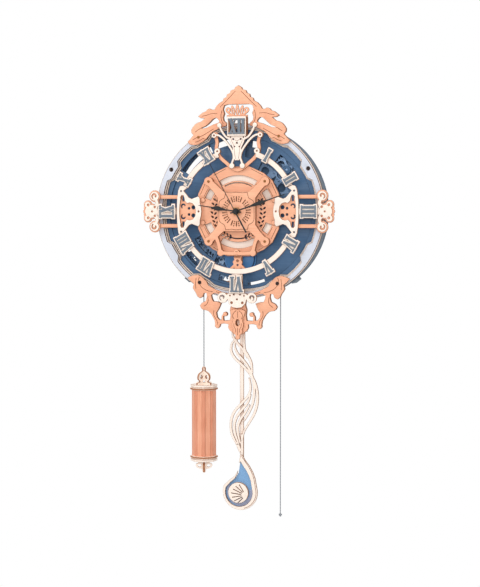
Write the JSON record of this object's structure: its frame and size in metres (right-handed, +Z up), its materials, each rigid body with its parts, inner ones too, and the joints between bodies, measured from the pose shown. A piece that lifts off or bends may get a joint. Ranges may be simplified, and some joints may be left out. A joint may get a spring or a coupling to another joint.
{
  "type": "wooden wall clock kit",
  "caption": "Wall clock of laser-cut plywood layers: pierced dial, quartz hands, weight-driven wheel train, twisted pendulum, hanging weight and pull cord.",
  "frame": {"origin": "centre of the hanging hole in the back plate, on the wall plane", "axes": "+Z up, +Y into the wall, so the dial faces -Y, and +X to the right as seen from the front"},
  "size_m": [0.284, 0.0549, 0.614],
  "materials": {
    "steel_blue_ply": "laser-cut plywood, printed steel blue, satin",
    "pale_blue_ply": "laser-cut plywood, printed pale blue, satin",
    "rim_ply": "bent plywood strip, printed grey-blue, satin",
    "peach_ply": "laser-cut basswood plywood, warm peach face with burnt edges",
    "cream_ply": "laser-cut plywood, cream face with burnt edges",
    "numeral_ply": "thin plywood, printed slate grey",
    "gear_ply": "laser-cut plywood wheels, printed blue",
    "dowel_wood": "turned dowel, plain",
    "weight_wood": "plywood slats, salmon brown",
    "screw_steel": "small pan-head screws",
    "core_steel": "plain steel bar",
    "movement_plastic": "black moulded plastic",
    "nut_brass": "small hexagon nut",
    "cell_steel": "dry cell in a plain steel jacket",
    "hand_metal": "stamped metal, black lacquer",
    "cord_fibre": "thin braided grey cord"
  },
  "bodies": {
    "root": {"back_plate": "steel_blue_ply", "rim_band": "rim_ply", "case_pillars": "dowel_wood", "bearing_collar": "dowel_wood", "front_plate": "steel_blue_ply", "plate_ring": "steel_blue_ply", "inner_liner": "cream_ply", "ring_backing": "cream_ply", "front_ring": "pale_blue_ply", "face_screws": "screw_steel", "crest": "peach_ply", "crest_crown": "peach_ply", "twelve_block": "peach_ply", "cardinal_plaques": "cream_ply", "hour_plaques": "cream_ply", "numeral_inlays": "numeral_ply", "dial_ring": "cream_ply", "heart_frame": "peach_ply", "heart_scroll": "cream_ply", "side_rails": "peach_ply", "side_scroll_backs": "peach_ply", "side_scrolls": "cream_ply", "side_brackets": "cream_ply", "bracket_filigree": "peach_ply", "bottom_scroll": "cream_ply", "bottom_post": "peach_ply", "lower_boss": "steel_blue_ply", "lower_ornament": "peach_ply", "lower_torso": "peach_ply", "medallion_back": "peach_ply", "medallion_underlay": "cream_ply", "medallion_frame": "peach_ply", "medallion_panel": "peach_ply", "medallion_pillars": "dowel_wood", "movement_case": "movement_plastic", "movement_nut": "nut_brass", "battery": "cell_steel", "cord_turn": "cord_fibre"},
    "drive": {"cord_pulley": "dowel_wood", "great_wheel": "gear_ply", "click_pawls": "dowel_wood"},
    "second_train": {"second_wheel": "gear_ply"},
    "third_train": {"third_wheel": "gear_ply"},
    "escape": {"escape_wheel": "gear_ply"},
    "top_train": {"top_wheel": "gear_ply"},
    "hour": {"hour_hand": "hand_metal"},
    "minute": {"minute_hand": "hand_metal"},
    "second": {"second_hand": "hand_metal"},
    "pendulum": {"anchor": "peach_ply", "pendulum_hanger": "cream_ply", "pendulum_strands": "cream_ply", "bob_back": "steel_blue_ply", "bob_frame": "cream_ply", "bob_shell": "cream_ply"},
    "weight": {"weight_body": "weight_wood", "weight_core": "core_steel", "weight_ends": "cream_ply", "weight_cord": "cord_fibre"},
    "pull_end": {"pull_cord": "cord_fibre", "pull_knot": "cord_fibre"}
  },
  "joints": [
    {"name": "weight_slide", "type": "slide", "parent": "root", "child": "weight", "axis": [0, 0, 1], "range_m": [-0.25, 0.085], "deforming": ["weight_cord"]},
    {"name": "pull_slide", "type": "slide", "parent": "root", "child": "pull_end", "axis": [0, 0, 1], "range_m": [-0.085, 0.25], "deforming": ["pull_cord"]},
    {"name": "drive_turn", "type": "hinge", "parent": "root", "child": "drive", "pos_m": [0, 0, -0.102], "axis": [0, 1, 0], "range_deg": [-252, 87]},
    {"name": "second_turn", "type": "hinge", "parent": "root", "child": "second_train", "pos_m": [-0.07369, 0, -0.14711], "axis": [0, 1, 0], "range_deg": [-680, 1995]},
    {"name": "third_turn", "type": "hinge", "parent": "root", "child": "third_train", "pos_m": [-0.05351, 0, -0.16984], "axis": [0, 1, 0], "range_deg": [-5583, 1900]},
    {"name": "escape_turn", "type": "hinge", "parent": "root", "child": "escape", "pos_m": [-0.0267, 0, -0.18417], "axis": [0, 1, 0], "range_deg": [-5315, 15627]},
    {"name": "top_turn", "type": "hinge", "parent": "root", "child": "top_train", "pos_m": [0.06762, 0, -0.04322], "axis": [0, 1, 0], "range_deg": [-511, 1497]},
    {"name": "second_hand_turn", "type": "hinge", "parent": "root", "child": "second", "pos_m": [0, 0, -0.102], "axis": [0, 1, 0], "continuous": true},
    {"name": "minute_hand_turn", "type": "hinge", "parent": "root", "child": "minute", "pos_m": [0, 0, -0.102], "axis": [0, 1, 0], "continuous": true},
    {"name": "hour_hand_turn", "type": "hinge", "parent": "root", "child": "hour", "pos_m": [0, 0, -0.102], "axis": [0, 1, 0], "continuous": true},
    {"name": "pendulum_swing", "type": "hinge", "parent": "root", "child": "pendulum", "pos_m": [0, 0, -0.192], "axis": [0, 1, 0], "range_deg": [-1.8, 1.8]}
  ],
  "couplings": [
    {"joint": "pull_slide", "follows": "weight_slide", "ratio": -1},
    {"joint": "drive_turn", "follows": "weight_slide", "rad_per_m": 17.391},
    {"joint": "second_turn", "follows": "weight_slide", "rad_per_m": -139.13},
    {"joint": "third_turn", "follows": "weight_slide", "rad_per_m": 389.57},
    {"joint": "escape_turn", "follows": "weight_slide", "rad_per_m": -1090.8},
    {"joint": "top_turn", "follows": "weight_slide", "rad_per_m": -104.35},
    {"joint": "minute_hand_turn", "follows": "second_hand_turn", "ratio": 0.016667},
    {"joint": "hour_hand_turn", "follows": "second_hand_turn", "ratio": 0.0013889}
  ]
}
